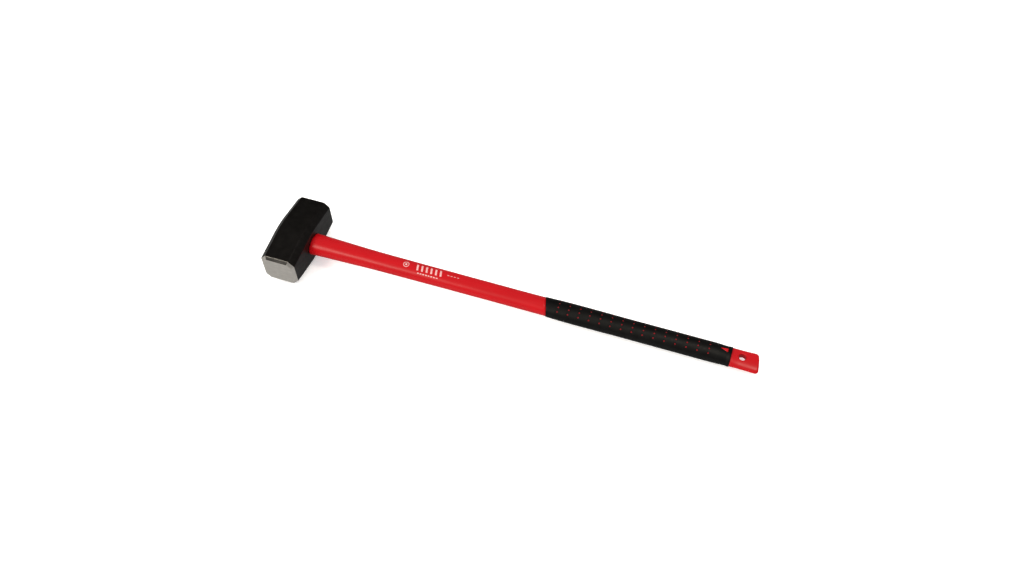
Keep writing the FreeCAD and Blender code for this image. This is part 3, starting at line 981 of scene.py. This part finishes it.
def forge_relief(head):
    """Shallow unevenness left by forging and painting, nowhere on the ground ends."""
    mesh = head.data
    places = np.array([point.co for point in mesh.vertices])
    normals = np.array([point.normal for point in mesh.vertices])
    ground_from = (HEAD_HALF_LENGTH - FACE_BEVEL - BEVEL_ROUND) * MM
    fade = np.clip((ground_from - np.abs(places[:, 1])) / (FORGE_FADE * MM), 0, 1)
    relief = sum(depth * np.array([noise.noise(Vector(p) / (length * MM)) for p in places])
                 for depth, length in FORGE_WAVES)
    places += normals * (relief * fade * MM)[:, None]
    mesh.vertices.foreach_set("co", places.ravel())
    mesh.update()


def hammer_head():
    """Octagonal head with bulged cheeks, an oval eye, bevelled rims and crowned ground faces."""
    skin = Skin()
    half = head_rows()
    sections = [(-y, inset, coat) for y, inset, coat in half[:0:-1]] + half
    points = np.array([octagon_ring(y, inset) for y, inset, _ in sections])
    for side, column in zip((1, -1), EYE_COLUMNS):
        shape_eye(points, side, column)
    numbers = skin.add(points)
    middle = len(sections) // 2
    mask = window_mask(points.shape[:2], [(middle, column, EYE_RIM) for column in EYE_COLUMNS])
    for i in range(len(sections) - 1):
        coats = {sections[i][2], sections[i + 1][2]}
        if RIM in coats:        # painted shade: beside the cheeks the bevels get a darker copy of the ground steel, for their dark reflection
            for first in CHEEK_COLUMNS:
                skin.grid(numbers[i:i + 2, first:first + CHEEK_STEPS + 1], paint=RIM)
                mask[i, first:first + CHEEK_STEPS] = True
        coat = LACQUER if coats == {LACQUER} else GROUND
        skin.grid(numbers[i:i + 2], wrap=True, skip=mask[i:i + 1], paint=coat)
    line_eye(skin, numbers, points)
    striking_face(skin, numbers[-1], points[-1], 1)
    striking_face(skin, numbers[0], points[0], -1)
    bright = ground_steel("ground_steel", (0.56, 0.535, 0.50), (0.73, 0.70, 0.655))
    # Darker copy of the ground steel: painted shade on the bevels beside the cheeks.
    dull = ground_steel("bevel_steel_painted_shade", (0.10, 0.097, 0.092), (0.19, 0.183, 0.172))
    head = skin.build("head_skin", [lacquer(), bright, dull], "hammer_head")
    forge_relief(head)


# ---- Inside the eye ----

BOND_STEPS = 96
BOND_COLUMNS = np.linspace(0, 2 * math.pi, BOND_STEPS + 1)[:-1]
RESIN_CLIMB = 0.9               # how far the resin is drawn up the steel and the rod
RESIN_RIPPLE = 0.12
RIPPLE_WAVES = (4, 3)           # across the resin's surface and round it
RESIN_RINGS = 13
BOND_RINGS = 11
CORE_CHAMFER = 0.4
SAWN_LENGTH = 2.0               # a ring this close to the rod's cut end keeps its edge crisp
CORE_END_SHARES = (0.1, 0.3, 0.5, 0.7, 0.85)
CORE_RINGS = 20


def eye_size(x):
    """Half width and half height of the eye's passage at x."""
    share = EYE_WAIST_SHARE + (1 - EYE_WAIST_SHARE) * (x / HEAD_HALF_WIDTH) ** 2
    return EYE_MOUTH[0] * share, EYE_MOUTH[1] * share


def resin_plug():
    """Cast resin round the core, its free surface drawn up where it wets the steel and the rod."""
    skin = Skin()
    level = RESIN_LOW[0]
    wall = eye_size(level)
    rings = []
    across, around = RIPPLE_WAVES
    for share in np.linspace(0, 1, RESIN_RINGS):
        size = [core + share * (steel - core) for core, steel in zip(CORE_HALF, wall)]
        climb = RESIN_CLIMB * (2 * share - 1) ** 4
        ripple = [noise.noise(Vector((across * share, around * math.sin(a), around * math.cos(a))))
                  for a in BOND_COLUMNS]
        x = level - climb + RESIN_RIPPLE * np.array(ripple)
        rings.append(skin.add(oval_points(*size, x, BOND_COLUMNS)))
    for x in np.linspace(level, RESIN_HIGH[0], BOND_RINGS + 1)[1:]:
        rings.append(skin.add(oval_points(*eye_size(x), x, BOND_COLUMNS)))
    rings.append(skin.add(oval_points(*CORE_HALF, RESIN_HIGH[0], BOND_COLUMNS)))
    skin.loops(*rings, rings[0])
    skin.build("resin_plug", [set_resin()], "eye_resin")


def core_rod():
    """Pultruded rod with a sawn, lightly chamfered end in the eye."""
    skin = Skin()
    rings = []
    for share in CORE_END_SHARES:
        size = (CORE_HALF[0] * share, CORE_HALF[1] * share)
        rings.append(skin.add(oval_points(*size, CORE_LOW[0], BOND_COLUMNS)))
    inner = (CORE_HALF[0] - CORE_CHAMFER, CORE_HALF[1] - CORE_CHAMFER)
    rings.append(skin.add(oval_points(*inner, CORE_LOW[0], BOND_COLUMNS)))
    near_end = (CORE_LOW[0] + CORE_CHAMFER, CORE_LOW[0] + SAWN_LENGTH)
    for x in (*near_end, *np.linspace(0, CORE_HIGH[0], CORE_RINGS)):
        rings.append(skin.add(oval_points(*CORE_HALF, x, BOND_COLUMNS)))
    skin.loops(*rings)
    skin.fan(rings[0], (CORE_LOW[0], 0.0, AXIS_Z))
    skin.fan(rings[-1], (CORE_HIGH[0], 0.0, AXIS_Z))
    skin.build("core_rod", [glass_rod()], "fibreglass_core")


def finish_dam_ring():
    """The sealing ring keeps its CAD shape and gets its material."""
    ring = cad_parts["resin_dam_ring"]
    ring.data.materials.clear()
    ring.data.materials.append(dam_rubber())


# ---- Studio ----

CHEEK_EDGE_X = HEAD_HALF_WIDTH - CORNER_LEG  # the head rests on this edge of its cheek, in millimetres
GRIP_REST = (788.0, 25.0)       # the grip touches the table here: X and Z in millimetres
FLOOR_SIZE = 14.0
TABLE_GAP = 0.0001              # the table stays this far below the cheek
WARM_WHITE = (1.0, 0.93, 0.80)
ROOM_LIGHT = 1.3
LAMPS = (                       # name, place, aim, size and power of each soft box
    ("key", (-0.95, -1.30, 1.85), (0.1, 0.0, 0.04), (0.9, 0.75), 35.0),
    ("tail_glow", (0.92, -0.04, 1.6), (0.85, 0.0, 0.04), (0.28, 0.28), 8.0),
)
CAMERA_PLACE = (0.7828, -0.9854, 1.4845)
CAMERA_AIM = (0.4114, 0.0248, 0.0405)
CAMERA_ROLL = 1.36              # degrees
CAMERA_LENS = 35.29             # millimetres, on a sensor 36 mm wide


def table_top():
    """Pale floor, tilted just enough to touch both the cheek's edge and the grip."""
    half = FLOOR_SIZE / 2
    mesh = bpy.data.meshes.new("table_top")
    corners = [(-half, -half, 0), (half, -half, 0), (half, half, 0), (-half, half, 0)]
    mesh.from_pydata(corners, [], [(0, 1, 2, 3)])
    mesh.materials.append(studio_floor())
    table = bpy.data.objects.new("table_top", mesh)
    tilt = math.atan2(GRIP_REST[1], GRIP_REST[0] - CHEEK_EDGE_X)
    place = Matrix.Translation((CHEEK_EDGE_X * MM, 0, -TABLE_GAP))
    table.matrix_world = place @ Matrix.Rotation(-tilt, 4, "Y")
    bpy.context.scene.collection.objects.link(table)


def soft_light(name, place, aim, size, power):
    """Rectangular soft box."""
    data = bpy.data.lights.new(name, "AREA")
    data.shape = "RECTANGLE"
    data.size, data.size_y = size
    data.energy = power
    data.color = WARM_WHITE
    lamp = bpy.data.objects.new(name, data)
    lamp.location = place
    lamp.rotation_euler = (Vector(aim) - Vector(place)).to_track_quat("-Z", "Y").to_euler()
    bpy.context.scene.collection.objects.link(lamp)


def surroundings():
    """Even pale room light that leaves no reflections."""
    world = bpy.data.worlds.new("studio")
    world.use_nodes = True
    back = world.node_tree.nodes["Background"]
    back.inputs["Color"].default_value = (1.0, 1.0, 1.0, 1.0)
    back.inputs["Strength"].default_value = ROOM_LIGHT
    bpy.context.scene.world = world
    world.cycles_visibility.glossy = False


def camera():
    """Camera beside the grip, looking down."""
    data = bpy.data.cameras.new("camera")
    data.lens = CAMERA_LENS
    cam = bpy.data.objects.new("camera", data)
    cam.location = CAMERA_PLACE
    look = (Vector(CAMERA_AIM) - Vector(CAMERA_PLACE)).to_track_quat("-Z", "Y")
    cam.rotation_mode = "QUATERNION"
    cam.rotation_quaternion = look @ Matrix.Rotation(math.radians(-CAMERA_ROLL), 3, "Z").to_quaternion()
    bpy.context.scene.collection.objects.link(cam)
    bpy.context.scene.camera = cam


def studio():
    """Table, light and camera."""
    table_top()
    surroundings()
    for lamp in LAMPS:
        soft_light(*lamp)
    camera()
    bpy.context.scene.view_settings.view_transform = "Standard"


hammer_head()
resin_plug()
core_rod()
finish_dam_ring()
sleeve()
rubber_grip()
printed_marks()
studio()
